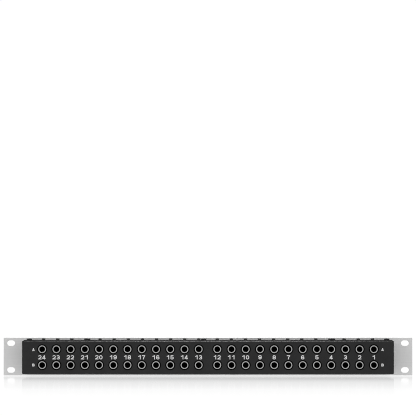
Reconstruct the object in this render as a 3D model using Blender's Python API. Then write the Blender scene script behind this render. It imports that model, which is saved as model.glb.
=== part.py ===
"""Rack-mount audio patch bay, one rack unit high, with 24 channels.

A bright metal front panel with slotted rack ears carries a black sheet-steel chassis behind it.
Each channel is a card that stands on edge: two jacks open through the front panel, two more
through the rear wall, and a three-position slide switch on its top edge works through a slot
in the top cover.

Frame: +X along the rack, channel 1 at +X. +Z up. The front panel faces +Y and the rear wall
faces -Y. The origin is at the middle of the underside of the bounding box. Metres.
"""

import math

import bmesh
import bpy
from mathutils import Matrix

# Front panel: one 19-inch rack unit
PANEL_WIDTH = 0.4826
PANEL_HEIGHT = 0.04445
PANEL_THICKNESS = 0.0020
PANEL_FRONT = 0.0432
PANEL_REAR = PANEL_FRONT - PANEL_THICKNESS
MID_HEIGHT = PANEL_HEIGHT / 2
EAR_INNER = 0.2190
SLOT_X = 0.23255
SLOT_RISE = 0.015875
SLOT_LENGTH = 0.0092
SLOT_WIDTH = 0.0064

# Chassis: folded sheet steel, open at the front and on top
SHEET = 0.0010
CHASSIS_HALF = 0.2156
CHASSIS_REAR = -0.0440
CHASSIS_FRONT = 0.0409
CHASSIS_LOW = 0.0026
CHASSIS_HIGH = 0.0411
BEND_RADIUS = 0.0012
REAR_FLANGE = 0.0130
SIDE_FLANGE = 0.0096
FRONT_FLANGE = 0.0126
BEND_HALF = 0.2122
RELIEF_WIDTH = 0.0020
RELIEF_DEPTH = 0.0016

# Top cover: a flat sheet with one slot for each switch
COVER_HALF = 0.2140
COVER_REAR = -0.0426
COVER_LOW = 0.0414
COVER_HIGH = 0.0421
COVER_SLOT_HALF_X = 0.0026
COVER_SLOT_HALF_Y = 0.0044

# Channels: two groups of twelve with a wider gap between them
GROUP = 12
CHANNELS = 2 * GROUP
PITCH = 0.0165
CENTRE_GAP = 0.0215
ROW_SPACING = 0.01835
ROWS_MIDDLE = 0.0223
ROW_A = ROWS_MIDDLE + ROW_SPACING / 2
ROW_B = ROWS_MIDDLE - ROW_SPACING / 2

# Jacks for 6.35 mm plugs
JACK_TIP = 0.0450
JACK_HOLE_RADIUS = 0.0058
BUSHING_RADIUS = 0.0045
BORE_RADIUS = 0.0033
BODY_HALF_X = 0.0060
BODY_HALF_Z = 0.0070
BODY_LENGTH = 0.0300
PIECE_GAP = 0.0003
JACK_SIDES = 8
HOLE_SIDES = 10

# Circuit board and slide switch of one channel
BOARD_LOW_X = 0.0057
BOARD_HIGH_X = 0.0076
BOARD_HALF_Y = 0.0405
BOARD_LOW = 0.0050
BOARD_HIGH = 0.0388
SWITCH_HALF_X = 0.0032
SWITCH_HALF_Y = 0.0065
SWITCH_LOW = 0.0354
SWITCH_HIGH = 0.0400
GROOVE_HALF_X = 0.0014
GROOVE_HALF_Y = 0.0043
GROOVE_FLOOR = 0.0376

# Slider of the switch: it travels 2 mm each way from its middle position
KNOB_BASE_HALF_X = 0.0022
KNOB_TOP_HALF_X = 0.0019
KNOB_HALF_Y = 0.0020
KNOB_TOP_HALF_Y = 0.0016
KNOB_LOW = 0.0403
KNOB_HIGH = 0.0438
STEM_HALF_X = 0.0011
STEM_HALF_Y = 0.0018
STEM_LOW = 0.0380

# Screws
COVER_SCREW_X = (-0.2074, -0.1396, -0.0050, 0.1446, 0.2076)
COVER_SCREW_Y = -0.0362
PANEL_SCREW_X = 0.2085
PANEL_SCREW_RISE = 0.0120
SCREW_HEAD_RADIUS = 0.0031
SCREW_HEAD_HEIGHT = 0.0015
SCREW_CROWN_RADIUS = 0.0026
SCREW_RADIUS = 0.0015
SCREW_HOLE_RADIUS = 0.00175
COVER_SCREW_LENGTH = 0.0027
PANEL_SCREW_LENGTH = 0.0048
RECESS_LENGTH = 0.0034
RECESS_WIDTH = 0.0007
RECESS_DEPTH = 0.0008
SCREW_SIDES = 10

# Cutters run REACH beyond what they cut, and joined shapes share OVERLAP
REACH = 0.0030
OVERLAP = 0.0005
# Faces that would otherwise lie in one plane are set SEAM apart
SEAM = 0.00002


def clear_scene():
    for obj in list(bpy.data.objects):
        bpy.data.objects.remove(obj, do_unlink=True)


def make_material(name, colour, roughness, metallic):
    material = bpy.data.materials.new(name)
    material.use_nodes = True
    shader = material.node_tree.nodes["Principled BSDF"]
    shader.inputs["Base Color"].default_value = (*colour, 1.0)
    shader.inputs["Roughness"].default_value = roughness
    shader.inputs["Metallic"].default_value = metallic
    return material


def add_box(bm, low, high, top_half=None):
    """A box from its low corner to its high corner. top_half narrows its top face in X and Y."""
    corners = [(x, y, z) for z in (low[2], high[2]) for y in (low[1], high[1]) for x in (low[0], high[0])]
    if top_half:
        middle = ((low[0] + high[0]) / 2, (low[1] + high[1]) / 2)
        for index in range(4, 8):
            side_x = 1 if index % 2 else -1
            side_y = 1 if index >= 6 else -1
            corners[index] = (middle[0] + side_x * top_half[0], middle[1] + side_y * top_half[1], high[2])
    verts = [bm.verts.new(corner) for corner in corners]
    sides = ((0, 2, 3, 1), (4, 5, 7, 6), (0, 1, 5, 4), (1, 3, 7, 5), (3, 2, 6, 7), (2, 0, 4, 6))
    for side in sides:
        bm.faces.new([verts[index] for index in side])


def add_cylinder(bm, centre, radius, low, high, axis, sides, top_radius=None):
    """A cylinder or cone along "Y" or "Z". centre holds the two coordinates across the axis."""
    turn = Matrix.Rotation(-math.pi / 2, 4, "X") if axis == "Y" else Matrix.Identity(4)
    middle = (low + high) / 2
    place = (centre[0], middle, centre[1]) if axis == "Y" else (centre[0], centre[1], middle)
    bmesh.ops.create_cone(
        bm,
        cap_ends=True,
        segments=sides,
        radius1=radius,
        radius2=radius if top_radius is None else top_radius,
        depth=high - low,
        matrix=Matrix.Translation(place) @ turn,
    )


def make_object(name, bm, material=None):
    bmesh.ops.recalc_face_normals(bm, faces=bm.faces[:])
    mesh = bpy.data.meshes.new(name)
    bm.to_mesh(mesh)
    bm.free()
    obj = bpy.data.objects.new(name, mesh)
    bpy.context.collection.objects.link(obj)
    if material:
        mesh.materials.append(material)
    return obj


def make_helper(name, bm):
    """An object that only cuts or joins, so it is left out of the part."""
    obj = make_object(name, bm)
    obj.hide_render = True
    obj.display_type = "WIRE"
    return obj


def combine(obj, helper, operation):
    modifier = obj.modifiers.new(helper.name, "BOOLEAN")
    modifier.object = helper
    modifier.operation = operation
    modifier.solver = "EXACT"


def finished_mesh(obj, name):
    """The object's mesh with its modifiers carried out, for copies to share."""
    graph = bpy.context.evaluated_depsgraph_get()
    mesh = bpy.data.meshes.new_from_object(obj.evaluated_get(graph))
    mesh.name = name
    return mesh


def smooth_round_pieces(mesh):
    mesh.shade_smooth()
    mesh.set_sharp_from_angle(angle=math.radians(50))


def place_copy(name, mesh, location):
    obj = bpy.data.objects.new(name, mesh)
    obj.location = location
    bpy.context.collection.objects.link(obj)
    return obj


def channel_x(number):
    """Centre of a channel. Channel 1 is at +X, channel 24 at -X."""
    if number <= GROUP:
        return CENTRE_GAP / 2 + (GROUP - number) * PITCH
    return -(CENTRE_GAP / 2 + (number - GROUP - 1) * PITCH)


def channels():
    return range(1, CHANNELS + 1)


def make_jack_hole_cutter(name, y):
    """Round holes for both rows of jacks through a wall at y."""
    bm = bmesh.new()
    for number in channels():
        for height in (ROW_A, ROW_B):
            centre = (channel_x(number), height)
            add_cylinder(bm, centre, JACK_HOLE_RADIUS, y - REACH, y + REACH, "Y", HOLE_SIDES)
    return make_helper(name, bm)


def make_panel_hole_cutter(name):
    """Rack slots and panel-screw holes."""
    bm = bmesh.new()
    half_run = (SLOT_LENGTH - SLOT_WIDTH) / 2
    for side in (-1, 1):
        for rise in (-1, 1):
            profile = []
            for index in range(HOLE_SIDES + 2):
                half_turn = index // (HOLE_SIDES // 2 + 1)
                angle = math.pi * (index - half_turn) / (HOLE_SIDES / 2) - math.pi / 2
                shift = half_run if half_turn == 0 else -half_run
                x = side * SLOT_X + shift + SLOT_WIDTH / 2 * math.cos(angle)
                z = MID_HEIGHT + rise * SLOT_RISE + SLOT_WIDTH / 2 * math.sin(angle)
                profile.append(bm.verts.new((x, PANEL_REAR - REACH, z)))
            face = bm.faces.new(profile)
            pulled = bmesh.ops.extrude_face_region(bm, geom=[face])["geom"]
            ends = [item for item in pulled if isinstance(item, bmesh.types.BMVert)]
            bmesh.ops.translate(bm, verts=ends, vec=(0, PANEL_THICKNESS + 2 * REACH, 0))
            centre = (side * PANEL_SCREW_X, MID_HEIGHT + rise * PANEL_SCREW_RISE)
            low = CHASSIS_FRONT - SHEET - REACH
            add_cylinder(bm, centre, SCREW_HOLE_RADIUS, low, PANEL_FRONT + REACH, "Y", SCREW_SIDES)
    return make_helper(name, bm)


def make_front_panel(material):
    bm = bmesh.new()
    half = PANEL_WIDTH / 2
    add_box(bm, (-half, PANEL_REAR, 0), (half, PANEL_FRONT, PANEL_HEIGHT))
    for x in (-EAR_INNER, EAR_INNER):
        everything = bm.verts[:] + bm.edges[:] + bm.faces[:]
        bmesh.ops.bisect_plane(bm, geom=everything, plane_co=(x, 0, 0), plane_no=(1, 0, 0))
    panel = make_object("front_panel", bm, material)
    combine(panel, make_jack_hole_cutter("front_jack_holes", PANEL_FRONT), "DIFFERENCE")
    combine(panel, make_panel_hole_cutter("panel_holes"), "DIFFERENCE")
    return panel


def make_cover_screw_cutter(name):
    bm = bmesh.new()
    for x in COVER_SCREW_X:
        centre = (x, COVER_SCREW_Y)
        low = CHASSIS_HIGH - SHEET - REACH
        add_cylinder(bm, centre, SCREW_HOLE_RADIUS, low, COVER_HIGH + REACH, "Z", SCREW_SIDES)
    return make_helper(name, bm)


def make_chassis(material):
    bm = bmesh.new()
    low = (-CHASSIS_HALF, CHASSIS_REAR, CHASSIS_LOW)
    high = (CHASSIS_HALF, CHASSIS_FRONT, CHASSIS_HIGH)
    add_box(bm, low, high)
    folds = []
    for edge in bm.edges:
        at_rear = all(abs(v.co.y - CHASSIS_REAR) < 1e-6 for v in edge.verts)
        at_base = all(abs(v.co.z - CHASSIS_LOW) < 1e-6 for v in edge.verts)
        along_y = abs(edge.verts[0].co.x - edge.verts[1].co.x) < 1e-6
        if at_rear or (at_base and along_y):
            folds.append(edge)
    bmesh.ops.bevel(bm, geom=folds, offset=BEND_RADIUS, segments=3, profile=0.5, affect="EDGES")
    chassis = make_object("chassis", bm, material)

    inner_half = CHASSIS_HALF - SHEET
    inner_low = CHASSIS_LOW + SHEET
    inner_high = CHASSIS_HIGH - SHEET
    bm = bmesh.new()
    add_box(bm, (-inner_half, CHASSIS_REAR + SHEET, inner_low), (inner_half, CHASSIS_FRONT - SHEET, inner_high))
    combine(chassis, make_helper("chassis_cavity", bm), "DIFFERENCE")

    bm = bmesh.new()
    opening_half = CHASSIS_HALF - FRONT_FLANGE
    opening_low = (-opening_half, CHASSIS_FRONT - SHEET - REACH, inner_low)
    add_box(bm, opening_low, (opening_half, CHASSIS_FRONT + REACH, inner_high))
    combine(chassis, make_helper("chassis_front_opening", bm), "DIFFERENCE")

    bm = bmesh.new()
    opening_half = CHASSIS_HALF - SIDE_FLANGE
    opening_rear = CHASSIS_REAR + REAR_FLANGE
    opening_low = (-opening_half, opening_rear, inner_high - REACH)
    add_box(bm, opening_low, (opening_half, CHASSIS_FRONT + REACH, CHASSIS_HIGH + REACH))
    combine(chassis, make_helper("chassis_top_opening", bm), "DIFFERENCE")

    bm = bmesh.new()
    for side in (-1, 1):
        ends = sorted((side * BEND_HALF, side * (BEND_HALF + RELIEF_WIDTH)))
        relief_low = CHASSIS_HIGH - RELIEF_DEPTH
        relief_front = CHASSIS_REAR + SHEET + RELIEF_DEPTH
        add_box(bm, (ends[0], CHASSIS_REAR - REACH, relief_low), (ends[1], relief_front, CHASSIS_HIGH + REACH))
    combine(chassis, make_helper("chassis_bend_reliefs", bm), "DIFFERENCE")

    combine(chassis, make_jack_hole_cutter("rear_jack_holes", CHASSIS_REAR + SHEET / 2), "DIFFERENCE")
    combine(chassis, bpy.data.objects["panel_holes"], "DIFFERENCE")
    combine(chassis, make_cover_screw_cutter("cover_screw_holes"), "DIFFERENCE")
    return chassis


def make_top_cover(material):
    bm = bmesh.new()
    add_box(bm, (-COVER_HALF, COVER_REAR, COVER_LOW), (COVER_HALF, CHASSIS_FRONT, COVER_HIGH))
    cover = make_object("top_cover", bm, material)
    bm = bmesh.new()
    for number in channels():
        x = channel_x(number)
        low = (x - COVER_SLOT_HALF_X, -COVER_SLOT_HALF_Y, COVER_LOW - REACH)
        high = (x + COVER_SLOT_HALF_X, COVER_SLOT_HALF_Y, COVER_HIGH + REACH)
        add_box(bm, low, high)
    combine(cover, make_helper("cover_slots", bm), "DIFFERENCE")
    combine(cover, bpy.data.objects["cover_screw_holes"], "DIFFERENCE")
    return cover


def make_channel_card_mesh(material):
    """Board, four jacks and the switch's housing, around a channel centred on x = 0."""
    bm = bmesh.new()
    add_box(bm, (BOARD_LOW_X, -BOARD_HALF_Y, BOARD_LOW), (BOARD_HIGH_X, BOARD_HALF_Y, BOARD_HIGH))
    card = make_object("card_board", bm, material)
    card.hide_render = True
    card.display_type = "WIRE"

    rear_face = CHASSIS_REAR + SHEET + PIECE_GAP
    front_face = PANEL_REAR - PIECE_GAP
    bodies = bmesh.new()
    bushings = bmesh.new()
    bores = bmesh.new()
    for height in (ROW_A, ROW_B):
        low_z = height - BODY_HALF_Z
        high_z = height + BODY_HALF_Z
        for near, far in ((rear_face, rear_face + BODY_LENGTH), (front_face - BODY_LENGTH, front_face)):
            add_box(bodies, (-BODY_HALF_X, near, low_z), (BODY_HALF_X + OVERLAP, far, high_z))
        spans = ((-JACK_TIP, rear_face + OVERLAP), (front_face - OVERLAP, JACK_TIP))
        for low_y, high_y in spans:
            add_cylinder(bushings, (0, height), BUSHING_RADIUS, low_y, high_y, "Y", JACK_SIDES)
        add_cylinder(bores, (0, height), BORE_RADIUS, -JACK_TIP - REACH, JACK_TIP + REACH, "Y", JACK_SIDES)
    add_box(
        bodies,
        (-SWITCH_HALF_X, -SWITCH_HALF_Y, SWITCH_LOW),
        (BOARD_LOW_X + OVERLAP, SWITCH_HALF_Y, SWITCH_HIGH),
    )
    combine(card, make_helper("card_bodies", bodies), "UNION")
    combine(card, make_helper("card_bushings", bushings), "UNION")
    combine(card, make_helper("card_bores", bores), "DIFFERENCE")

    bm = bmesh.new()
    add_box(bm, (-GROOVE_HALF_X, -GROOVE_HALF_Y, GROOVE_FLOOR), (GROOVE_HALF_X, GROOVE_HALF_Y, SWITCH_HIGH + REACH))
    combine(card, make_helper("card_switch_groove", bm), "DIFFERENCE")
    mesh = finished_mesh(card, "channel_card")
    smooth_round_pieces(mesh)
    return mesh


def make_slider_mesh(material):
    """A tapered knob on a narrower stem, with the origin at the knob's base."""
    bm = bmesh.new()
    low = (-KNOB_BASE_HALF_X, -KNOB_HALF_Y, 0)
    high = (KNOB_BASE_HALF_X, KNOB_HALF_Y, KNOB_HIGH - KNOB_LOW)
    add_box(bm, low, high, (KNOB_TOP_HALF_X, KNOB_TOP_HALF_Y))
    knob = make_object("slider_knob", bm, material)
    knob.hide_render = True
    knob.display_type = "WIRE"
    bm = bmesh.new()
    add_box(bm, (-STEM_HALF_X, -STEM_HALF_Y, STEM_LOW - KNOB_LOW), (STEM_HALF_X, STEM_HALF_Y, OVERLAP))
    combine(knob, make_helper("slider_stem", bm), "UNION")
    return finished_mesh(knob, "mode_slider")


def make_screw_mesh(name, length, material):
    """A pan-head screw that stands along Z, with the underside of its head at z = 0."""
    bm = bmesh.new()
    rim = SCREW_HEAD_HEIGHT / 2
    add_cylinder(bm, (0, 0), SCREW_HEAD_RADIUS, 0, rim, "Z", SCREW_SIDES)
    head = make_object(name + "_head", bm, material)
    head.hide_render = True
    head.display_type = "WIRE"

    bm = bmesh.new()
    add_cylinder(
        bm, (0, 0), SCREW_HEAD_RADIUS, rim - SEAM, SCREW_HEAD_HEIGHT, "Z", SCREW_SIDES, SCREW_CROWN_RADIUS
    )
    combine(head, make_helper(name + "_crown", bm), "UNION")
    bm = bmesh.new()
    add_cylinder(bm, (0, 0), SCREW_RADIUS, -length, OVERLAP, "Z", SCREW_SIDES)
    combine(head, make_helper(name + "_shank", bm), "UNION")
    for across in (0, 1):
        half_x = (RECESS_WIDTH if across else RECESS_LENGTH) / 2
        half_y = (RECESS_LENGTH if across else RECESS_WIDTH) / 2
        bm = bmesh.new()
        floor = SCREW_HEAD_HEIGHT - RECESS_DEPTH + across * SEAM
        add_box(bm, (-half_x, -half_y, floor), (half_x, half_y, SCREW_HEAD_HEIGHT + REACH))
        combine(head, make_helper(f"{name}_recess_{across}", bm), "DIFFERENCE")
    mesh = finished_mesh(head, name)
    smooth_round_pieces(mesh)
    return mesh


def build():
    clear_scene()
    silver = make_material("brushed_silver", (0.52, 0.52, 0.52), 0.38, 1.0)
    black_steel = make_material("black_powder_coat", (0.024, 0.024, 0.025), 0.55, 0.0)
    card_black = make_material("jack_black", (0.015, 0.015, 0.016), 0.45, 0.0)
    slider_black = make_material("slider_black", (0.020, 0.020, 0.020), 0.40, 0.0)
    dark_screw = make_material("dark_screw", (0.090, 0.090, 0.095), 0.35, 1.0)

    make_front_panel(silver)
    make_chassis(black_steel)
    make_top_cover(black_steel)

    card_mesh = make_channel_card_mesh(card_black)
    slider_mesh = make_slider_mesh(slider_black)
    for number in channels():
        x = channel_x(number)
        place_copy(f"channel_card_{number:02d}", card_mesh, (x, 0, 0))
        place_copy(f"mode_slider_{number:02d}", slider_mesh, (x, 0, KNOB_LOW))

    cover_screw_mesh = make_screw_mesh("cover_screw", COVER_SCREW_LENGTH, dark_screw)
    for index, x in enumerate(COVER_SCREW_X, 1):
        location = (x, COVER_SCREW_Y, COVER_HIGH + PIECE_GAP)
        place_copy(f"cover_screw_{index}", cover_screw_mesh, location)

    panel_screw_mesh = make_screw_mesh("panel_screw", PANEL_SCREW_LENGTH, dark_screw)
    index = 0
    for side in (-1, 1):
        for rise in (-1, 1):
            index += 1
            location = (side * PANEL_SCREW_X, PANEL_FRONT + PIECE_GAP, MID_HEIGHT + rise * PANEL_SCREW_RISE)
            screw = place_copy(f"panel_screw_{index}", panel_screw_mesh, location)
            screw.rotation_euler = (-math.pi / 2, 0, 0)


build()
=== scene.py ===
import math

import bmesh
import bpy
from mathutils import Matrix, Vector


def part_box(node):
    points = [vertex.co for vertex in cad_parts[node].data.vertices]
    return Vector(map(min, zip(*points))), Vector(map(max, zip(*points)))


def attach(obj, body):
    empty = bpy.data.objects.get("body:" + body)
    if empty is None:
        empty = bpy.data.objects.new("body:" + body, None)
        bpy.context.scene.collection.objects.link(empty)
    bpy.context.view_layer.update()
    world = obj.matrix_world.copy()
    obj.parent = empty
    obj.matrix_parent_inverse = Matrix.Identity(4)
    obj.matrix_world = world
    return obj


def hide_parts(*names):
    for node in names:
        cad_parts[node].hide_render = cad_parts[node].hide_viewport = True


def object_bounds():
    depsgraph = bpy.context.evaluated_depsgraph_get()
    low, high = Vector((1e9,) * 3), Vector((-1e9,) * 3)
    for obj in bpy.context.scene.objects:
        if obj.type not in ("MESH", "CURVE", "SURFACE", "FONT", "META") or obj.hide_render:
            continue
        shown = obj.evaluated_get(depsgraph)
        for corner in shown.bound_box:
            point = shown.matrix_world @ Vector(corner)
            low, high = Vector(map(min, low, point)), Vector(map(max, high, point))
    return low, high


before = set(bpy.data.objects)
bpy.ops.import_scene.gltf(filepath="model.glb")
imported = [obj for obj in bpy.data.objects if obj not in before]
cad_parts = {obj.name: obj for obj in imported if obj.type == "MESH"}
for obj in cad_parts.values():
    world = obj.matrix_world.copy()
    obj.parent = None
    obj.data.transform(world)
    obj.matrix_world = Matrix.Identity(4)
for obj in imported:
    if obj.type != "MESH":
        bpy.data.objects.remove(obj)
cad_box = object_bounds()

# ---------------------------------------------------------------- dimensions of the part, in metres

PANEL_LOW, PANEL_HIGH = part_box("front_panel")
CASE_LOW, CASE_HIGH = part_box("chassis")
COVER_LOW, COVER_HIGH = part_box("top_cover")
MID = (PANEL_LOW.z + PANEL_HIGH.z) / 2
CASE = "case"

# Channels and jacks
GROUP = 12
PITCH = 0.0165
CENTRE_GAP = 0.0215
ROW_SPACING = 0.01835
ROWS_MIDDLE = 0.0223
ROWS = {"a": ROWS_MIDDLE + ROW_SPACING / 2, "b": ROWS_MIDDLE - ROW_SPACING / 2}
HOLE_RADIUS = 0.0058
BUSHING_RADIUS = 0.0045
BORE_RADIUS = 0.0031
BODY_LENGTH = 0.0300
PIECE_GAP = 0.0002

# Sheet metal
SHEET = 0.0010
FOLD_RADIUS = 0.0012
FRONT_OPENING_X = 0.2030
TOP_OPENING_X = 0.2060
REAR_FLANGE = 0.0130
RELIEF_INNER_X = 0.2134
RELIEF_OUTER_X = 0.2142
RELIEF_DROP = 0.0013
RELIEF_DEPTH = 0.0020
KNOB_SLOT_X = 0.0026
KNOB_SLOT_Y = 0.0044
SLOT_X = 0.23255
SLOT_RISE = 0.015875
SLOT_LENGTH = 0.0092
SLOT_WIDTH = 0.0064

# Screws and knobs
COVER_SCREW_X = (-0.2074, -0.1396, -0.0050, 0.1446, 0.2076)
COVER_SCREW_Y = -0.0362
PANEL_SCREW_X = 0.2085
PANEL_SCREW_RISE = 0.0120
SCREW_HOLE_RADIUS = 0.0016
HEAD_RADIUS = 0.0031
HEAD_HEIGHT = 0.0018
HEAD_SHOULDER = 0.0003
THREAD_PITCH = 0.0005
KNOB_HEIGHT = 0.0035


def channel_x(number):
    if number <= GROUP:
        return CENTRE_GAP / 2 + (GROUP - number) * PITCH
    return -(CENTRE_GAP / 2 + (number - GROUP - 1) * PITCH)


CHANNELS = [(number, channel_x(number)) for number in range(1, 2 * GROUP + 1)]


# ---------------------------------------------------------------- materials

class Nodes:
    """A material's node tree, with short ways to add and link nodes."""

    def __init__(self, name):
        self.material = bpy.data.materials.new(name)
        self.material.use_nodes = True
        self.tree = self.material.node_tree
        self.shader = self.tree.nodes["Principled BSDF"]

    def add(self, kind, **values):
        node = self.tree.nodes.new(kind)
        for key, value in values.items():
            if key in node.inputs:
                node.inputs[key].default_value = value
            else:
                setattr(node, key, value)
        return node

    def link(self, source, target):
        self.tree.links.new(source, target)

    def set(self, **values):
        for key, value in values.items():
            self.shader.inputs[key.replace("_", " ")].default_value = value

    def coordinates(self, scale=(1, 1, 1)):
        where = self.add("ShaderNodeTexCoord")
        mapping = self.add("ShaderNodeMapping")
        mapping.inputs["Scale"].default_value = scale
        self.link(where.outputs["Object"], mapping.inputs["Vector"])
        return mapping.outputs["Vector"]

    def noise(self, scale, detail=3.0, roughness=0.5, stretch=(1, 1, 1)):
        node = self.add("ShaderNodeTexNoise", Scale=scale, Detail=detail, Roughness=roughness)
        self.link(self.coordinates(stretch), node.inputs["Vector"])
        return node.outputs["Fac"]

    def ramp(self, source, stops):
        node = self.add("ShaderNodeValToRGB")
        elements = node.color_ramp.elements
        while len(elements) < len(stops):
            elements.new(0.5)
        for element, (position, value) in zip(elements, stops):
            element.position = position
            colour = value if isinstance(value, tuple) else (value, value, value)
            element.color = (*colour, 1.0)
        self.link(source, node.inputs["Fac"])
        return node.outputs["Color"]

    def span(self, source, low, high, from_low=0.3, from_high=0.7):
        node = self.add("ShaderNodeMapRange")
        node.inputs["From Min"].default_value = from_low
        node.inputs["From Max"].default_value = from_high
        node.inputs["To Min"].default_value = low
        node.inputs["To Max"].default_value = high
        self.link(source, node.inputs["Value"])
        return node.outputs["Result"]

    def bump(self, source, strength, distance, normal=None):
        node = self.add("ShaderNodeBump", Strength=strength, Distance=distance)
        self.link(source, node.inputs["Height"])
        if normal is not None:
            self.link(normal, node.inputs["Normal"])
        return node.outputs["Normal"]


def powder_coat():
    """Fine black powder coat: a pebbled film with faint tone and gloss changes."""
    m = Nodes("powder_coat_black")
    m.set(Metallic=0.0, IOR=1.45, Specular_IOR_Level=0.20)
    shades = [(0.30, (0.0115, 0.0115, 0.0118)), (0.72, (0.0165, 0.0165, 0.0169))]
    tone = m.ramp(m.noise(55, 5, 0.6), shades)
    m.link(tone, m.shader.inputs["Base Color"])
    m.link(m.span(m.noise(900, 2), 0.44, 0.56), m.shader.inputs["Roughness"])
    coarse = m.bump(m.noise(1500, 2, 0.55), 0.35, 0.00012)
    m.link(m.bump(m.noise(4200, 1, 0.5), 0.25, 0.00005, coarse), m.shader.inputs["Normal"])
    return m.material


def brushed_panel():
    """Bright metal brushed along the rack, with a long faint cloudiness."""
    m = Nodes("brushed_silver")
    m.set(Metallic=1.0)
    lines = m.noise(1.0, 6, 0.7, (9, 2600, 2600))
    cloud = m.noise(9, 4, 0.6, (0.5, 1, 1))
    grain = m.ramp(lines, [(0.28, (0.620, 0.620, 0.620)), (0.72, (0.790, 0.790, 0.790))])
    mottle = m.ramp(cloud, [(0.30, (0.94, 0.94, 0.94)), (0.70, (1.0, 1.0, 1.0))])
    mix = m.add("ShaderNodeMix", data_type="RGBA", blend_type="MULTIPLY")
    mix.inputs[0].default_value = 1.0
    m.link(grain, mix.inputs[6])
    m.link(mottle, mix.inputs[7])
    m.link(mix.outputs[2], m.shader.inputs["Base Color"])
    m.link(m.span(lines, 0.57, 0.69), m.shader.inputs["Roughness"])
    m.link(m.bump(lines, 0.30, 0.00004), m.shader.inputs["Normal"])
    return m.material


def turned_nickel():
    """Nickel-plated bushing with fine turning marks round its axis and light wear."""
    m = Nodes("turned_nickel")
    m.set(Metallic=1.0)
    marks = m.noise(1.0, 3, 0.6, (120, 9000, 120))
    worn = m.noise(420, 4, 0.65)
    shades = [(0.30, (0.34, 0.34, 0.335)), (0.60, (0.44, 0.44, 0.435)), (0.80, (0.50, 0.50, 0.495))]
    m.link(m.ramp(worn, shades), m.shader.inputs["Base Color"])
    m.link(m.span(worn, 0.22, 0.38), m.shader.inputs["Roughness"])
    m.link(m.bump(marks, 0.25, 0.00003), m.shader.inputs["Normal"])
    return m.material


def moulded_plastic(name, dark, light, rough_low, rough_high, grain, gloss):
    """Moulded thermoplastic with a fine spark-eroded grain."""
    m = Nodes(name)
    m.set(Metallic=0.0, IOR=1.50, Specular_IOR_Level=gloss)
    m.link(m.ramp(m.noise(180, 4, 0.6), [(0.3, dark), (0.7, light)]), m.shader.inputs["Base Color"])
    m.link(m.span(m.noise(1400, 2), rough_low, rough_high), m.shader.inputs["Roughness"])
    m.link(m.bump(m.noise(grain, 2, 0.5), 0.30, 0.00005), m.shader.inputs["Normal"])
    return m.material


def plated_metal(name, dark, light, rough_low, rough_high):
    """Plated, oxide-finished or bare metal with handling marks."""
    m = Nodes(name)
    m.set(Metallic=1.0)
    wear = m.noise(600, 5, 0.65)
    m.link(m.ramp(wear, [(0.32, dark), (0.70, light)]), m.shader.inputs["Base Color"])
    m.link(m.span(wear, rough_low, rough_high), m.shader.inputs["Roughness"])
    m.link(m.bump(m.noise(2500, 2), 0.20, 0.00003), m.shader.inputs["Normal"])
    return m.material


def printed_ink(name, low, high):
    """Screen-printed ink: slightly uneven cover and a chalky surface."""
    m = Nodes(name)
    m.set(Metallic=0.0, IOR=1.45)
    m.link(m.ramp(m.noise(1600, 3, 0.6), [(0.25, low), (0.75, high)]), m.shader.inputs["Base Color"])
    m.link(m.span(m.noise(2200, 2), 0.55, 0.72), m.shader.inputs["Roughness"])
    m.link(m.bump(m.noise(5000, 1), 0.20, 0.00002), m.shader.inputs["Normal"])
    return m.material


def circuit_board():
    """Dark green solder mask with copper tracks showing under it."""
    m = Nodes("solder_mask_green")
    m.set(Metallic=0.0, IOR=1.50, Coat_Weight=0.4, Coat_Roughness=0.15)
    tracks = m.add("ShaderNodeTexBrick", Scale=1.0)
    tracks.offset = 0.37
    tracks.inputs["Brick Width"].default_value = 0.0085
    tracks.inputs["Row Height"].default_value = 0.0021
    tracks.inputs["Mortar Size"].default_value = 0.00035
    tracks.inputs["Mortar Smooth"].default_value = 0.15
    tracks.inputs["Color1"].default_value = (0.006, 0.030, 0.014, 1)
    tracks.inputs["Color2"].default_value = (0.008, 0.036, 0.017, 1)
    tracks.inputs["Mortar"].default_value = (0.022, 0.085, 0.036, 1)
    where = m.add("ShaderNodeTexCoord")
    split = m.add("ShaderNodeSeparateXYZ")
    joined = m.add("ShaderNodeCombineXYZ")
    m.link(where.outputs["Object"], split.inputs["Vector"])
    m.link(split.outputs["Y"], joined.inputs["X"])
    m.link(split.outputs["Z"], joined.inputs["Y"])
    m.link(joined.outputs["Vector"], tracks.inputs["Vector"])
    m.link(tracks.outputs["Color"], m.shader.inputs["Base Color"])
    m.link(m.span(m.noise(900, 2), 0.30, 0.42), m.shader.inputs["Roughness"])
    m.link(m.bump(tracks.outputs["Fac"], 0.30, 0.00003), m.shader.inputs["Normal"])
    return m.material


FLOOR_DIFFUSE = 0.03
FLOOR_GLOW = 1.0
FLOOR_ROUGHNESS = 0.05
FADE_REACH = 2.0
# Share of the floor's gloss at each distance in front of or behind the object, as a part of FADE_REACH
FADE_STOPS = [
    (0.0, 0.30), (0.045, 0.53), (0.082, 0.55), (0.117, 0.445), (0.165, 0.325),
    (0.235, 0.235), (0.33, 0.18), (0.45, 0.08), (0.60, 0.035), (1.0, 0.0),
]


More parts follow.
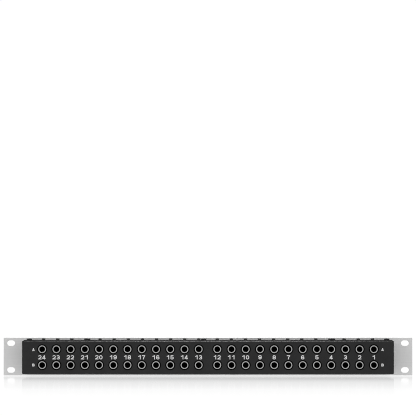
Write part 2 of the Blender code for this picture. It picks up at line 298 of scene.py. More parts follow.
def studio_floor():
    """Pale polished sheet: its gloss is strongest close to the object and fades in front and behind."""
    m = Nodes("studio_floor")
    tree = m.tree
    out = tree.nodes["Material Output"]
    diffuse = m.add("ShaderNodeBsdfDiffuse")
    diffuse.inputs["Color"].default_value = (FLOOR_DIFFUSE, FLOOR_DIFFUSE, FLOOR_DIFFUSE, 1)
    glow = m.add("ShaderNodeEmission", Strength=FLOOR_GLOW)
    pale = m.add("ShaderNodeAddShader")
    m.link(diffuse.outputs[0], pale.inputs[0])
    m.link(glow.outputs[0], pale.inputs[1])
    gloss = m.add("ShaderNodeBsdfGlossy", Roughness=FLOOR_ROUGHNESS)
    gloss.inputs["Color"].default_value = (1, 1, 1, 1)
    where = m.add("ShaderNodeTexCoord")
    split = m.add("ShaderNodeSeparateXYZ")
    m.link(where.outputs["Object"], split.inputs["Vector"])
    away = m.add("ShaderNodeMath", operation="ABSOLUTE")
    m.link(split.outputs["Y"], away.inputs[0])
    fade = m.ramp(m.span(away.outputs[0], 0.0, 1.0, 0.0, FADE_REACH), FADE_STOPS)
    fresnel = m.add("ShaderNodeFresnel", IOR=1.45)
    share = m.add("ShaderNodeMath", operation="MULTIPLY")
    m.link(fade, share.inputs[0])
    m.link(fresnel.outputs[0], share.inputs[1])
    mix = m.add("ShaderNodeMixShader")
    m.link(share.outputs[0], mix.inputs[0])
    m.link(pale.outputs[0], mix.inputs[1])
    m.link(gloss.outputs[0], mix.inputs[2])
    m.link(mix.outputs[0], out.inputs["Surface"])
    tree.nodes.remove(m.shader)
    return m.material


COAT = powder_coat()
SILVER = brushed_panel()
NICKEL = turned_nickel()
# Jack bodies: black plastic made darker than real plastic, as painted shade in the clearance gap round each
# bushing.
SHADED_JACK_PLASTIC = moulded_plastic(
    "jack_plastic_painted_shade", (0.0015, 0.0015, 0.0016), (0.0030, 0.0030, 0.0031), 0.62, 0.78, 3200, 0.08
)
KNOB_PLASTIC = moulded_plastic(
    "knob_plastic", (0.005, 0.005, 0.005), (0.010, 0.010, 0.010), 0.40, 0.54, 4500, 0.18
)
SCREW_METAL = plated_metal("screw_black_oxide", (0.016, 0.016, 0.017), (0.040, 0.040, 0.042), 0.34, 0.50)
SPRING_METAL = plated_metal("contact_silver", (0.46, 0.45, 0.42), (0.62, 0.61, 0.58), 0.25, 0.40)
SHELL_METAL = plated_metal("switch_shell_zinc", (0.10, 0.10, 0.098), (0.16, 0.16, 0.157), 0.45, 0.60)
SOLDER = plated_metal("solder", (0.48, 0.48, 0.49), (0.66, 0.66, 0.67), 0.22, 0.36)
WHITE_INK = printed_ink("white_ink", (0.53, 0.53, 0.53), (0.67, 0.67, 0.67))
DARK_INK = printed_ink("dark_ink", (0.012, 0.012, 0.013), (0.024, 0.024, 0.025))
BOARD_GREEN = circuit_board()


# ---------------------------------------------------------------- mesh tools

def add_skin(bm, rings):
    """Faces between each ring of points and the next, with a flat cap at both ends."""
    for near, far in zip(rings, rings[1:]):
        for index in range(len(near)):
            following = (index + 1) % len(near)
            bm.faces.new((near[index], near[following], far[following], far[index]))
    bm.faces.new(rings[0])
    bm.faces.new(rings[-1])


def add_prism(bm, outline, near_x, far_x):
    """A solid between two copies of an outline of (y, z) points."""
    add_skin(bm, [[bm.verts.new((x, y, z)) for y, z in outline] for x in (near_x, far_x)])


def add_box(bm, low, high, top_inset=(0.0, 0.0)):
    """A box between two corners. top_inset narrows its top face in X and Y."""
    inset_x, inset_y = top_inset
    ground = [(low[0], low[1]), (high[0], low[1]), (high[0], high[1]), (low[0], high[1])]
    raised = [
        (low[0] + inset_x, low[1] + inset_y),
        (high[0] - inset_x, low[1] + inset_y),
        (high[0] - inset_x, high[1] - inset_y),
        (low[0] + inset_x, high[1] - inset_y),
    ]
    base = [bm.verts.new((x, y, low[2])) for x, y in ground]
    top = [bm.verts.new((x, y, high[2])) for x, y in raised]
    bm.faces.new(base[::-1])
    bm.faces.new(top)
    for index in range(4):
        following = (index + 1) % 4
        bm.faces.new((base[index], base[following], top[following], top[index]))


def add_lathe(bm, profile, segments=40):
    """A closed ring round the Y axis, turned from a closed profile of (radius, distance along the axis)."""
    rings = []
    for index in range(segments):
        angle = 2 * math.pi * index / segments
        ring = []
        for radius, along in profile:
            ring.append(bm.verts.new((radius * math.cos(angle), along, radius * math.sin(angle))))
        rings.append(ring)
    count = len(profile)
    for index, ring in enumerate(rings):
        beside = rings[(index + 1) % segments]
        for step in range(count):
            following = (step + 1) % count
            bm.faces.new((ring[step], ring[following], beside[following], beside[step]))


def add_turned(bm, profile, centre=(0, 0, 0), axis="Y", segments=40):
    """A solid of revolution from an open profile whose two ends are closed with flat caps."""
    rings = []
    for radius, along in profile:
        ring = []
        for index in range(segments):
            angle = 2 * math.pi * index / segments
            across = (radius * math.cos(angle), radius * math.sin(angle))
            point = (across[0], along, across[1]) if axis == "Y" else (across[0], across[1], along)
            ring.append(bm.verts.new(Vector(point) + Vector(centre)))
        rings.append(ring)
    add_skin(bm, rings)


def mesh_from(bm, name):
    bmesh.ops.recalc_face_normals(bm, faces=bm.faces[:])
    mesh = bpy.data.meshes.new(name)
    bm.to_mesh(mesh)
    bm.free()
    return mesh


def object_from(mesh, name):
    obj = bpy.data.objects.new(name, mesh)
    bpy.context.scene.collection.objects.link(obj)
    return obj


def evaluated(obj, name):
    """The mesh of an object with its modifiers applied."""
    graph = bpy.context.evaluated_depsgraph_get()
    mesh = bpy.data.meshes.new_from_object(obj.evaluated_get(graph))
    mesh.name = name
    return mesh


def combined(mesh, steps, name):
    """The mesh after each (operation, mesh) Boolean in turn."""
    body = object_from(mesh, name + "_work")
    helpers = []
    for index, (operation, other) in enumerate(steps):
        helper = object_from(other, f"{name}_helper_{index}")
        modifier = body.modifiers.new("step", "BOOLEAN")
        modifier.operation = operation
        modifier.object = helper
        modifier.solver = "EXACT"
        helpers.append(helper)
    result = evaluated(body, name)
    for obj in [body, *helpers]:
        bpy.data.objects.remove(obj)
    return result


def beveled(mesh, width, segments, name, angle=35):
    """The mesh with its edges sharper than an angle in degrees rounded off."""
    work = object_from(mesh, name + "_work")
    modifier = work.modifiers.new("edges", "BEVEL")
    modifier.width = width
    modifier.segments = segments
    modifier.limit_method = "ANGLE"
    modifier.angle_limit = math.radians(angle)
    modifier.harden_normals = False
    result = evaluated(work, name)
    bpy.data.objects.remove(work)
    return result


def gathered(parts, name):
    """One mesh from several (mesh, matrix) pairs."""
    bm = bmesh.new()
    for mesh, matrix in parts:
        start = len(bm.verts)
        bm.from_mesh(mesh)
        bm.verts.ensure_lookup_table()
        bmesh.ops.transform(bm, matrix=matrix, verts=bm.verts[start:])
    bmesh.ops.recalc_face_normals(bm, faces=bm.faces[:])
    made = bpy.data.meshes.new(name)
    bm.to_mesh(made)
    bm.free()
    return made


def finish_piece(name, mesh, material, body, replaces=(), location=(0, 0, 0), smooth=32):
    """Makes a visible piece that rides on a body, with flat faces kept flat beside their rounded edges."""
    mesh.materials.clear()
    mesh.materials.append(material)
    mesh.shade_smooth()
    mesh.set_sharp_from_angle(angle=math.radians(smooth))
    obj = object_from(mesh, name)
    obj.location = location
    weighted = obj.modifiers.new("flat_faces", "WEIGHTED_NORMAL")
    weighted.mode = "FACE_AREA"
    weighted.weight = 100
    weighted.keep_sharp = True
    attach(obj, body)
    if replaces:
        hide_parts(*replaces)
    return obj


def hole_profile(radius, y, half, flare):
    """Profile of a hole cutter through a wall centred on y, with both mouths slightly flared."""
    past = 0.002
    reach = half + past
    return [
        (radius + flare + past, y - reach),
        (radius + flare, y - half),
        (radius, y - half + flare),
        (radius, y + half - flare),
        (radius + flare, y + half),
        (radius + flare + past, y + reach),
    ]


# ---------------------------------------------------------------- structure

def jack_hole_cutter(y, half, flare):
    bm = bmesh.new()
    for _, x in CHANNELS:
        for z in ROWS.values():
            add_turned(bm, hole_profile(HOLE_RADIUS, y, half, flare), (x, 0, z), "Y", 36)
    return mesh_from(bm, "jack_holes")


def panel_slot_cutter(y, half, flare):
    """Rack slots with flared mouths, and the round panel-screw holes."""
    bm = bmesh.new()
    turns = 12
    for side in (-1, 1):
        for rise in (-1, 1):
            rings = []
            for radius, along in hole_profile(SLOT_WIDTH / 2, y, half, flare):
                ring = []
                for end in (1, -1):
                    for index in range(turns + 1):
                        angle = math.pi * index / turns - math.pi / 2
                        x = side * SLOT_X + end * ((SLOT_LENGTH - SLOT_WIDTH) / 2 + radius * math.cos(angle))
                        z = MID + rise * SLOT_RISE + end * radius * math.sin(angle)
                        ring.append(bm.verts.new((x, along, z)))
                rings.append(ring)
            add_skin(bm, rings)
            centre = (side * PANEL_SCREW_X, 0, MID + rise * PANEL_SCREW_RISE)
            add_turned(bm, [(SCREW_HOLE_RADIUS, y - 0.006), (SCREW_HOLE_RADIUS, y + 0.006)], centre, "Y", 24)
    return mesh_from(bm, "panel_holes")


def cover_screw_cutter(low, high):
    bm = bmesh.new()
    for x in COVER_SCREW_X:
        add_turned(bm, [(SCREW_HOLE_RADIUS, low), (SCREW_HOLE_RADIUS, high)], (x, COVER_SCREW_Y, 0), "Z", 24)
    return mesh_from(bm, "screw_holes")


def build_front_panel():
    bm = bmesh.new()
    add_box(bm, PANEL_LOW, PANEL_HIGH)
    sheet = beveled(mesh_from(bm, "panel_sheet"), 0.00025, 2, "panel_sheet")
    y = (PANEL_LOW.y + PANEL_HIGH.y) / 2
    half = (PANEL_HIGH.y - PANEL_LOW.y) / 2
    steps = [
        ("DIFFERENCE", jack_hole_cutter(y, half, 0.0002)),
        ("DIFFERENCE", panel_slot_cutter(y, half, 0.0003)),
    ]
    mesh = combined(sheet, steps, "front_panel_sheet")
    finish_piece("front_panel_sheet", mesh, SILVER, CASE, ["front_panel"])


def build_case():
    """Folded case: floor, rear wall, side walls and the inward flanges that carry the cover and panel."""
    bm = bmesh.new()
    add_box(bm, CASE_LOW, CASE_HIGH)
    folds = []
    for edge in bm.edges:
        at_rear = all(abs(v.co.y - CASE_LOW.y) < 1e-6 for v in edge.verts)
        at_base = all(abs(v.co.z - CASE_LOW.z) < 1e-6 for v in edge.verts)
        along_y = abs(edge.verts[0].co.x - edge.verts[1].co.x) < 1e-6
        if at_rear or (at_base and along_y):
            folds.append(edge)
    bmesh.ops.bevel(bm, geom=folds, offset=FOLD_RADIUS, segments=6, profile=0.5, affect="EDGES")
    outer = mesh_from(bm, "case_outer")

    inner_x = CASE_HIGH.x - SHEET
    inner_low = CASE_LOW.z + SHEET
    inner_high = CASE_HIGH.z - SHEET
    cavity = bmesh.new()
    add_box(cavity, (-inner_x, CASE_LOW.y + SHEET, inner_low), (inner_x, CASE_HIGH.y - SHEET, inner_high))
    front = bmesh.new()
    front_low = (-FRONT_OPENING_X, CASE_HIGH.y - 0.002, inner_low)
    add_box(front, front_low, (FRONT_OPENING_X, CASE_HIGH.y + 0.02, inner_high))
    top = bmesh.new()
    top_low = (-TOP_OPENING_X, CASE_LOW.y + REAR_FLANGE, inner_high - 0.002)
    add_box(top, top_low, (TOP_OPENING_X, CASE_HIGH.y + 0.02, 0.06))
    reliefs = bmesh.new()
    for side in (-1, 1):
        ends = sorted((side * RELIEF_INNER_X, side * RELIEF_OUTER_X))
        relief_low = (ends[0], CASE_LOW.y - 0.02, CASE_HIGH.z - RELIEF_DROP)
        add_box(reliefs, relief_low, (ends[1], CASE_LOW.y + RELIEF_DEPTH, 0.06))
    steps = [
        ("DIFFERENCE", mesh_from(cavity, "cavity")),
        ("DIFFERENCE", mesh_from(front, "front_opening")),
        ("DIFFERENCE", mesh_from(top, "top_opening")),
        ("DIFFERENCE", mesh_from(reliefs, "reliefs")),
        ("DIFFERENCE", jack_hole_cutter(CASE_LOW.y + SHEET / 2, SHEET / 2, 0.00015)),
        ("DIFFERENCE", panel_slot_cutter(CASE_HIGH.y, 0.002, 0.0)),
        ("DIFFERENCE", cover_screw_cutter(0.038, 0.044)),
    ]
    mesh = combined(outer, steps, "case_shell")
    finish_piece("case_shell", mesh, COAT, CASE, ["chassis"])


def build_cover():
    """Flat cover with a slot for each knob and clearance holes for its screws."""
    bm = bmesh.new()
    hairline = 0.00002
    low = (COVER_LOW.x, COVER_LOW.y, CASE_HIGH.z + hairline)
    add_box(bm, low, COVER_HIGH)
    sheet = beveled(mesh_from(bm, "cover_sheet"), 0.00015, 2, "cover_sheet")
    slots = bmesh.new()
    for _, x in CHANNELS:
        add_box(slots, (x - KNOB_SLOT_X, -KNOB_SLOT_Y, 0.038), (x + KNOB_SLOT_X, KNOB_SLOT_Y, 0.045))
    steps = [
        ("DIFFERENCE", beveled(mesh_from(slots, "slots"), 0.0006, 3, "slots")),
        ("DIFFERENCE", cover_screw_cutter(0.038, 0.045)),
    ]
    mesh = combined(sheet, steps, "top_cover_sheet")
    finish_piece("top_cover_sheet", mesh, COAT, CASE, ["top_cover"])


# ---------------------------------------------------------------- channels

def bushing_mesh():
    """Ring that stands in the wall: rounded lip, countersunk mouth and a smooth sleeve. Tip at y = 0."""
    bm = bmesh.new()
    profile = [
        (BORE_RADIUS, 0.0046),
        (BORE_RADIUS, 0.0009),
        (BORE_RADIUS + 0.00012, 0.0006),
        (0.00345, 0.00022),
        (0.00362, 0.00006),
        (0.00380, 0.0),
        (0.00422, 0.0),
        (0.00436, 0.00005),
        (0.00446, 0.00018),
        (BUSHING_RADIUS, 0.00036),
        (BUSHING_RADIUS, 0.0026),
        (0.0042, 0.0026),
        (0.0042, 0.0046),
    ]
    add_lathe(bm, profile, segments=44)
    return mesh_from(bm, "bushing")


def jack_body_mesh():
    """Moulded jack body with ribs and clip notches. Its mouth is at y = 0 and its far end is closed."""
    bm = bmesh.new()
    add_box(bm, (-0.0060, 0, -0.0070), (0.0060, 0.0125, 0.0070))
    block = beveled(mesh_from(bm, "block"), 0.0004, 2, "block")
    bm = bmesh.new()
    add_box(bm, (-0.0056, 0.010, -0.0064), (0.0056, BODY_LENGTH, 0.0064))
    tail = beveled(mesh_from(bm, "tail"), 0.0006, 2, "tail")
    bm = bmesh.new()
    for y in (0.0150, 0.0190, 0.0230):
        add_box(bm, (-0.0058, y, -0.0066), (0.0058, y + 0.0012, 0.0066))
    ribs = beveled(mesh_from(bm, "ribs"), 0.0002, 1, "ribs")
    bm = bmesh.new()
    profile = [(0.00425, -0.002), (0.00425, 0.0034), (0.0034, 0.0034), (0.0034, BODY_LENGTH - 0.0010)]
    add_turned(bm, profile, segments=32)
    bore = mesh_from(bm, "bore")
    bm = bmesh.new()
    add_box(bm, (-0.0010, 0.020, 0.0045), (0.0010, BODY_LENGTH + 0.001, 0.0080))
    add_box(bm, (-0.0010, 0.020, -0.0080), (0.0010, BODY_LENGTH + 0.001, -0.0045))
    notches = mesh_from(bm, "notches")
    steps = [("UNION", tail), ("UNION", ribs), ("DIFFERENCE", bore), ("DIFFERENCE", notches)]
    return combined(block, steps, "jack_body")


def contact_mesh():
    """Tip and ring springs inside the bore, each a bent strip that bows towards the axis."""
    bm = bmesh.new()
    springs = (
        (1, [(0.0060, 0.00325), (0.0110, 0.00315), (0.0140, 0.00235), (0.0165, 0.00300), (0.0180, 0.00325)]),
        (-1, [(0.0120, 0.00325), (0.0190, 0.00310), (0.0235, 0.00190), (0.0262, 0.00280), (0.0280, 0.00325)]),
    )
    half_width = 0.0009
    thick = 0.00022
    for side, path in springs:
        rings = []
        for along, rise in path:
            ring = []
            for x, lift in ((-half_width, 0), (half_width, 0), (half_width, thick), (-half_width, thick)):
                reach = min(rise + lift, math.sqrt(0.00338 ** 2 - half_width ** 2))
                ring.append(bm.verts.new((x, along, side * reach)))
            rings.append(ring)
        add_skin(bm, rings)
    bmesh.ops.remove_doubles(bm, verts=bm.verts[:], dist=1e-6)
    return mesh_from(bm, "contacts")


def solder_mesh():
    """Solder joints of one jack on the far side of the board: small cones round clipped pins."""
    bm = bmesh.new()
    for y in (0.004, 0.014, 0.024):
        for z in (-0.0045, 0.0045):
            profile = [(0.0009, 0), (0.00075, 0.00015), (0.0004, 0.0006), (0.0003, 0.0009)]
            rings = []
            for radius, along in profile:
                ring = []
                for index in range(10):
                    angle = 2 * math.pi * index / 10
                    point = (0.00762 + along, y + radius * math.cos(angle), z + radius * math.sin(angle))
                    ring.append(bm.verts.new(point))
                rings.append(ring)
            add_skin(bm, rings)
    return mesh_from(bm, "solder")


def board_mesh():
    """Circuit board on edge, with clipped corners and nine via holes."""
    bm = bmesh.new()
    low_y, high_y = -0.0405, 0.0405
    low_z, high_z = 0.0050, 0.0388
    clip = 0.0012
    outline = [
        (low_y + clip, low_z), (high_y - clip, low_z), (high_y, low_z + clip), (high_y, high_z - clip),
        (high_y - clip, high_z), (low_y + clip, high_z), (low_y, high_z - clip), (low_y, low_z + clip),
    ]
    add_prism(bm, outline, 0.00605, 0.00760)
    sheet = mesh_from(bm, "board_sheet")
    bm = bmesh.new()
    via_radius = 0.0005
    angles = [2 * math.pi * index / 10 for index in range(10)]
    circle = [(via_radius * math.cos(angle), via_radius * math.sin(angle)) for angle in angles]
    for via_y in (-0.0095, 0.0, 0.0095):
        for via_z in (0.0100, 0.0222, 0.0330):
            add_prism(bm, [(via_y + y, via_z + z) for y, z in circle], 0.0050, 0.0090)
    return combined(sheet, [("DIFFERENCE", mesh_from(bm, "vias"))], "board")


def switch_shell_mesh():
    """Folded metal shell of the slide switch, with the slot that its slider works in."""
    bm = bmesh.new()
    add_box(bm, (-0.0032, -0.0065, 0.0354), (0.00600, 0.0065, 0.0400))
    shell = beveled(mesh_from(bm, "shell"), 0.0004, 2, "shell")
    bm = bmesh.new()
    add_box(bm, (-0.0014, -0.0043, 0.0376), (0.0014, 0.0043, 0.0500))
    groove = mesh_from(bm, "groove")
    bm = bmesh.new()
    for y in (-0.0068, 0.0056):
        add_box(bm, (-0.0040, y, 0.0360), (-0.0026, y + 0.0012, 0.0376))
    notches = mesh_from(bm, "notches")
    return combined(shell, [("DIFFERENCE", groove), ("DIFFERENCE", notches)], "switch_shell")


def slider_mesh():
    """Tapered knob with grip ridges on a narrower stem. Its base is at z = 0."""
    bm = bmesh.new()
    add_box(bm, (-0.0022, -0.0020, 0), (0.0022, 0.0020, KNOB_HEIGHT), (0.0003, 0.0004))
    knob = beveled(mesh_from(bm, "knob"), 0.00018, 2, "knob", 30)
    bm = bmesh.new()
    for y in (-0.00105, -0.00035, 0.00035, 0.00105):
        add_box(bm, (-0.003, y - 0.00013, KNOB_HEIGHT - 0.00018), (0.003, y + 0.00013, KNOB_HEIGHT + 0.0005))
    grooves = mesh_from(bm, "grooves")
    bm = bmesh.new()
    add_box(bm, (-0.0011, -0.0018, -0.0023), (0.0011, 0.0018, 0.0005))
    stem = beveled(mesh_from(bm, "stem"), 0.00015, 1, "stem")
    return combined(knob, [("UNION", stem), ("DIFFERENCE", grooves)], "slider")


def build_channels():
    """One set of pieces for each channel: two rear and two front jacks, their board, and a switch."""
    bushing = bushing_mesh()
    jack_body = jack_body_mesh()
    contact = contact_mesh()
    solder = solder_mesh()
    board = board_mesh()
    shell = switch_shell_mesh()
    slider = slider_mesh()
    rear_tip = cad_box[0].y
    front_tip = cad_box[1].y
    rear_face = CASE_LOW.y + SHEET + PIECE_GAP
    front_face = PANEL_LOW.y - PIECE_GAP
    solder_setback = 0.028
    half_turn = Matrix.Rotation(math.pi, 4, "Z")
    knob_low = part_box("mode_slider_01")[1].z - KNOB_HEIGHT

    bodies, bushings, contacts, joints = [], [], [], []
    for z in ROWS.values():
        rear = Matrix.Translation((0, rear_face, z))
        front = Matrix.Translation((0, front_face, z)) @ half_turn
        bodies += [(jack_body, rear), (jack_body, front)]
        contacts += [(contact, rear), (contact, front)]
        bushings.append((bushing, Matrix.Translation((0, rear_tip, z))))
        bushings.append((bushing, Matrix.Translation((0, front_tip, z)) @ half_turn))
        joints.append((solder, rear))
        joints.append((solder, Matrix.Translation((0, front_face - solder_setback, z))))
    sets = (
        ("jack_bodies", gathered(bodies, "jack_bodies"), SHADED_JACK_PLASTIC, "jack_black"),
        ("jack_bushings", gathered(bushings, "jack_bushings"), NICKEL, None),
        ("jack_contacts", gathered(contacts, "jack_contacts"), SPRING_METAL, None),
        ("solder_joints", gathered(joints, "solder_joints"), SOLDER, None),
        ("circuit_board", board, BOARD_GREEN, None),
        ("switch_shell", shell, SHELL_METAL, None),
    )
    for number, x in CHANNELS:
        for label, mesh, material, slot in sets:
            replaces = [f"channel_card_{number:02d}"] if label == "jack_bodies" else []
            finish_piece(f"{label}_{number:02d}", mesh.copy(), material, CASE, replaces, (x, 0, 0))
        finish_piece(
            f"slider_knob_{number:02d}",
            slider.copy(),
            KNOB_PLASTIC,
            f"switch_{number:02d}",
            [f"mode_slider_{number:02d}"],
            (x, 0, knob_low),
            28,
        )


# ---------------------------------------------------------------- screws and printing

def screw_mesh(length):
    """Pan-head screw with a cross recess and a threaded shank. Its head's underside is at z = 0."""
    bm = bmesh.new()
    rim = HEAD_HEIGHT - HEAD_SHOULDER - 0.0001
    profile = [(HEAD_RADIUS - 0.00015, 0.0), (HEAD_RADIUS, 0.00012), (HEAD_RADIUS, rim)]
    for index in range(1, 7):
        angle = math.pi / 2 * index / 6
        inset = HEAD_SHOULDER * (1 - math.cos(angle))
        profile.append((HEAD_RADIUS - inset, rim + HEAD_SHOULDER * math.sin(angle)))
    profile += [(0.0012, HEAD_HEIGHT - 0.00002), (0.0004, HEAD_HEIGHT)]
    add_turned(bm, profile, (0, 0, 0), "Z", 36)
    head = mesh_from(bm, "head")
    bm = bmesh.new()
    shank = []
    turns = int(length / THREAD_PITCH)
    for index in range(turns):
        root = -length + index * THREAD_PITCH
        shank += [(0.00128, root), (0.00150, root + THREAD_PITCH / 2)]
    shank.append((0.00128, 0.0003))
    add_turned(bm, shank, (0, 0, 0), "Z", 24)
    thread = mesh_from(bm, "thread")
    recess = []
    for turn in (0, math.pi / 2):
        bm = bmesh.new()
        add_box(bm, (-0.00165, -0.00036, 0.0008), (0.00165, 0.00036, 0.0030))
        for vert in bm.verts:
            if vert.co.z < 0.0011:
                vert.co.x *= 0.45
                vert.co.y *= 0.75
        bmesh.ops.rotate(bm, verts=bm.verts[:], matrix=Matrix.Rotation(turn + 0.4, 3, "Z"))
        recess.append(("DIFFERENCE", mesh_from(bm, "recess")))
    return combined(head, [("UNION", thread), *recess], "screw")


def place_screw(name, node, mesh, place):
    piece = finish_piece(name, mesh.copy(), SCREW_METAL, CASE, [node])
    piece.data.transform(place)


def build_screws():
    cover_screw = screw_mesh(0.0024)
    for index, x in enumerate(COVER_SCREW_X, 1):
        place = Matrix.Translation((x, COVER_SCREW_Y, COVER_HIGH.z)) @ Matrix.Rotation(1.1 * index, 4, "Z")
        place_screw(f"cover_pan_screw_{index}", f"cover_screw_{index}", cover_screw, place)
    panel_screw = screw_mesh(0.0044)
    corners = [(side, rise) for side in (-1, 1) for rise in (-1, 1)]
    for index, (side, rise) in enumerate(corners, 1):
        place = Matrix.Translation((side * PANEL_SCREW_X, PANEL_HIGH.y, MID + rise * PANEL_SCREW_RISE))
        turn = Matrix.Rotation(-math.pi / 2, 4, "X") @ Matrix.Rotation(0.9 * index, 4, "Z")
        place_screw(f"panel_pan_screw_{index}", f"panel_screw_{index}", panel_screw, place @ turn)


# Lettering is drawn in a cell one unit high, and scaled to size when it is placed.
DIGIT_STROKE = 0.188
LETTER_STROKE = 0.235
CELL_WIDTH = 0.82
CELL_GAP = 0.18
DIGIT_HEIGHT = 0.0047
DIGIT_Z = MID - 0.0001
TWO_DIGIT_SHIFT = -0.0003
LETTER_HEIGHT = 0.0032
LETTER_X = 0.20235
LETTER_Z = {"A": ROWS["a"] - 0.00045, "B": ROWS["b"] + 0.0001}
INK_DEPTH = 0.00004


def arc(centre, reach, start, end, squareness=2.3, steps=20):
    """Points along an oval between two angles in degrees. A squareness of 2 is a true ellipse."""
    points = []
    for index in range(steps + 1):
        angle = math.radians(start + (end - start) * index / steps)
        turned = (math.cos(angle), math.sin(angle))
        along = [math.copysign(abs(part) ** (2 / squareness), part) for part in turned]
        points.append((centre[0] + reach[0] * along[0], centre[1] + reach[1] * along[1]))
    return points


def band_mesh(path, stroke):
    """A strip one stroke wide along a path, with mitred corners. It closes up if its ends meet."""
    points = [Vector(point) for point in path]
    closed = (points[0] - points[-1]).length < 1e-6
    if closed:
        points.pop()
    count = len(points)
    bm = bmesh.new()
    rings = []
    for index, point in enumerate(points):
        turns = []
        if closed or index > 0:
            turns.append((point - points[index - 1]).normalized())
        if closed or index < count - 1:
            turns.append((points[(index + 1) % count] - point).normalized())
        normals = [Vector((-turn.y, turn.x)) for turn in turns]
        mitre = normals[0]
        if len(normals) == 2:
            mitre = (normals[0] + normals[1]) / (1 + normals[0].dot(normals[1]))
        ring = []
        for side, level in ((1, 0), (-1, 0), (-1, 1), (1, 1)):
            edge = point + side * mitre * stroke / 2
            ring.append(bm.verts.new((edge.x, edge.y, level)))
        rings.append(ring)
    pairs = list(zip(rings, rings[1:]))
    if closed:
        pairs.append((rings[-1], rings[0]))
    else:
        bm.faces.new(rings[0])
        bm.faces.new(rings[-1])
    for near, far in pairs:
        for index in range(4):
            following = (index + 1) % 4
            bm.faces.new((near[index], near[following], far[following], far[index]))
    return mesh_from(bm, "band")


def letter_paths(stroke):
    """The centre lines of the strokes of each figure and letter. Ends that overshoot the cell are cropped."""
    width = CELL_WIDTH
    low = stroke / 2
    high = 1 - low
    middle = width / 2
    half = middle - low
    six = [
        arc((middle, 0.5), (half, 0.5 - low), 205, 28),
        arc((middle, 0.315), (half, 0.315 - low), 0, 360),
    ]
    return {
        "0": [arc((middle, 0.5), (half, 0.5 - low), 0, 360)],
        "1": [[(0.60, -0.1), (0.60, 1.1)], [(0.10, 0.74), (0.34, 0.77), (0.52, 0.88), (0.60, 0.98)]],
        "2": [
            arc((middle, 0.67), (half, 0.33 - low), 172, -50) + [(0.07, 0.06)],
            [(0.0, low), (width, low)],
        ],
        "3": [
            arc((0.39, 0.705), (0.28, 0.295 - low), 165, -90) + [(0.28, 0.495)],
            [(0.28, 0.505)] + arc((middle, 0.295), (half, 0.295 - low), 90, -165),
        ],
        "4": [
            [(0.56, -0.1), (0.56, 1.1)],
            [(0.0, 0.27), (width, 0.27)],
            [(0.08, 0.27), (0.56, 1.0)],
        ],
        "5": [
            [(0.75, high), (0.17, high), (0.12, 0.42)],
            arc((0.40, 0.335), (width - low - 0.40, 0.335 - low), 148, -165),
        ],
        "6": six,
        "7": [[(0.0, high), (width, high)], [(0.74, 0.92), (0.47, 0.50), (0.33, -0.1)]],
        "8": [
            arc((middle, 0.71), (half - 0.03, 0.29 - low), 0, 360),
            arc((middle, 0.30), (half, 0.30 - low), 0, 360),
        ],
        "9": [[(width - x, 1 - y) for x, y in path] for path in six],
        "A": [[(0.06, -0.1), (0.42, 1.1)], [(0.75, -0.1), (0.39, 1.1)], [(0.16, 0.27), (0.65, 0.27)]],
        "B": [
            [(low, -0.1), (low, 1.1)],
            [(low, high)] + arc((0.44, 0.71), (0.22, 0.29 - low), 90, -90) + [(low, 0.42 + low)],
            [(low, 0.42 + low)] + arc((0.46, 0.295), (0.26, 0.295 - low), 90, -90) + [(low, low)],
        ],
    }


def letter_meshes():
    """Each figure and letter as one solid, cropped to its cell."""
    meshes = {}
    for letter in "0123456789AB":
        stroke = DIGIT_STROKE if letter.isdigit() else LETTER_STROKE
        bands = [band_mesh(path, stroke) for path in letter_paths(stroke)[letter]]
        cell = bmesh.new()
        add_box(cell, (0, 0, -1), (CELL_WIDTH, 1, 2))
        steps = [("UNION", band) for band in bands[1:]] + [("INTERSECT", mesh_from(cell, "cell"))]
        meshes[letter] = combined(bands[0], steps, "letter_" + letter)
    return meshes


def printed_words(words, height, letters):
    """The letters of a word as (mesh, matrix) pairs, centred on the origin in the XY plane."""
    advance = CELL_WIDTH + CELL_GAP
    start = -(len(words) * advance - CELL_GAP) / 2
    size = Matrix.Diagonal((height, height, INK_DEPTH, 1))
    parts = []
    for index, letter in enumerate(words):
        parts.append((letters[letter], size @ Matrix.Translation((start + index * advance, -0.5, -0.5))))
    return parts


def build_printing():
    """Channel numbers and row letters, white on the rear wall and dark on the front panel."""
    letters = letter_meshes()
    rear_turn = Matrix.Rotation(math.pi / 2, 4, "X")
    front_turn = Matrix.Rotation(math.pi, 4, "Z") @ rear_turn
    marks = []
    for number, x in CHANNELS:
        shift = TWO_DIGIT_SHIFT if number >= 10 else 0
        marks.append((str(number), DIGIT_HEIGHT, x + shift, DIGIT_Z))
    for x in (-LETTER_X, LETTER_X):
        marks += [(letter, LETTER_HEIGHT, x, z) for letter, z in LETTER_Z.items()]
    faces = (
        ("rear_numbers", WHITE_INK, CASE_LOW.y, rear_turn),
        ("front_numbers", DARK_INK, PANEL_HIGH.y, front_turn),
    )
    for name, ink, y, turn in faces:
        parts = []
        for words, height, x, z in marks:
            place = Matrix.Translation((x, y, z)) @ turn
            parts += [(mesh, place @ matrix) for mesh, matrix in printed_words(words, height, letters)]
        finish_piece(name, gathered(parts, name), ink, CASE)


# ---------------------------------------------------------------- stage

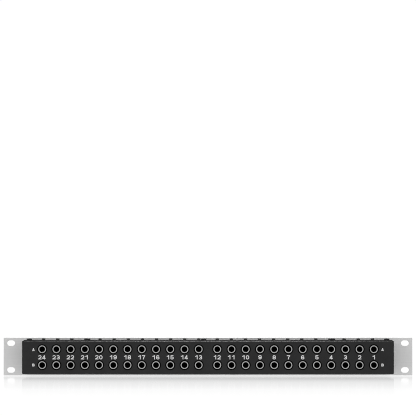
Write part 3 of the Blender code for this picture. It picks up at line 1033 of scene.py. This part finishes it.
FLOOR_HALF_SIZE = 9.0
FLOOR_Z = -0.0002
WORLD_STRENGTH = 1.02
LAMP_SIZE = (0.36, 0.06)
LAMP_SPREAD = 40
LAMP_POWER = 0.74
LAMP_PLACE = (0, 0.11, 0.55)
LAMP_TILT = -17
LENS = 343.2
CAMERA_DISTANCE = 4.60
CAMERA_RISE = 0.0437
CAMERA_TILT = 1.6108


def build_stage():
    """White surroundings, a pale floor, and a small soft lamp overhead. The lamp stands on the panel's side
    of the rear wall, so it lights the cover and the upper bend but not the wall or the rear jacks."""
    bm = bmesh.new()
    bmesh.ops.create_grid(bm, x_segments=1, y_segments=1, size=FLOOR_HALF_SIZE)
    floor = object_from(mesh_from(bm, "floor"), "studio_floor")
    floor.data.materials.append(studio_floor())
    floor.location.z = FLOOR_Z

    world = bpy.data.worlds.new("studio")
    bpy.context.scene.world = world
    world.use_nodes = True
    background = world.node_tree.nodes["Background"]
    background.inputs["Color"].default_value = (1, 1, 1, 1)
    background.inputs["Strength"].default_value = WORLD_STRENGTH

    data = bpy.data.lights.new("overhead_softbox", "AREA")
    data.shape = "RECTANGLE"
    data.size = LAMP_SIZE[0]
    data.size_y = LAMP_SIZE[1]
    data.spread = math.radians(LAMP_SPREAD)
    data.energy = LAMP_POWER
    lamp = bpy.data.objects.new("overhead_softbox", data)
    lamp.location = LAMP_PLACE
    lamp.rotation_euler = (math.radians(LAMP_TILT), 0, 0)
    bpy.context.scene.collection.objects.link(lamp)


def build_camera():
    """Long lens behind the object, a little above it and tipped up, so the object sits low in the frame."""
    data = bpy.data.cameras.new("camera")
    data.sensor_width = 36.0
    data.lens = LENS
    data.clip_start = 0.1
    data.clip_end = 60.0
    camera = bpy.data.objects.new("camera", data)
    camera.location = (0.0, CASE_LOW.y - CAMERA_DISTANCE, MID + CAMERA_RISE)
    camera.rotation_euler = (math.radians(90 + CAMERA_TILT), 0, 0)
    bpy.context.scene.collection.objects.link(camera)
    bpy.context.scene.camera = camera


build_front_panel()
build_case()
build_cover()
build_channels()
build_screws()
build_printing()
build_stage()
build_camera()
bpy.context.scene.view_settings.view_transform = "Standard"
bpy.context.scene.view_settings.look = "None"
bpy.context.scene.cycles.filter_width = 1.0

bpy.context.view_layer.update()
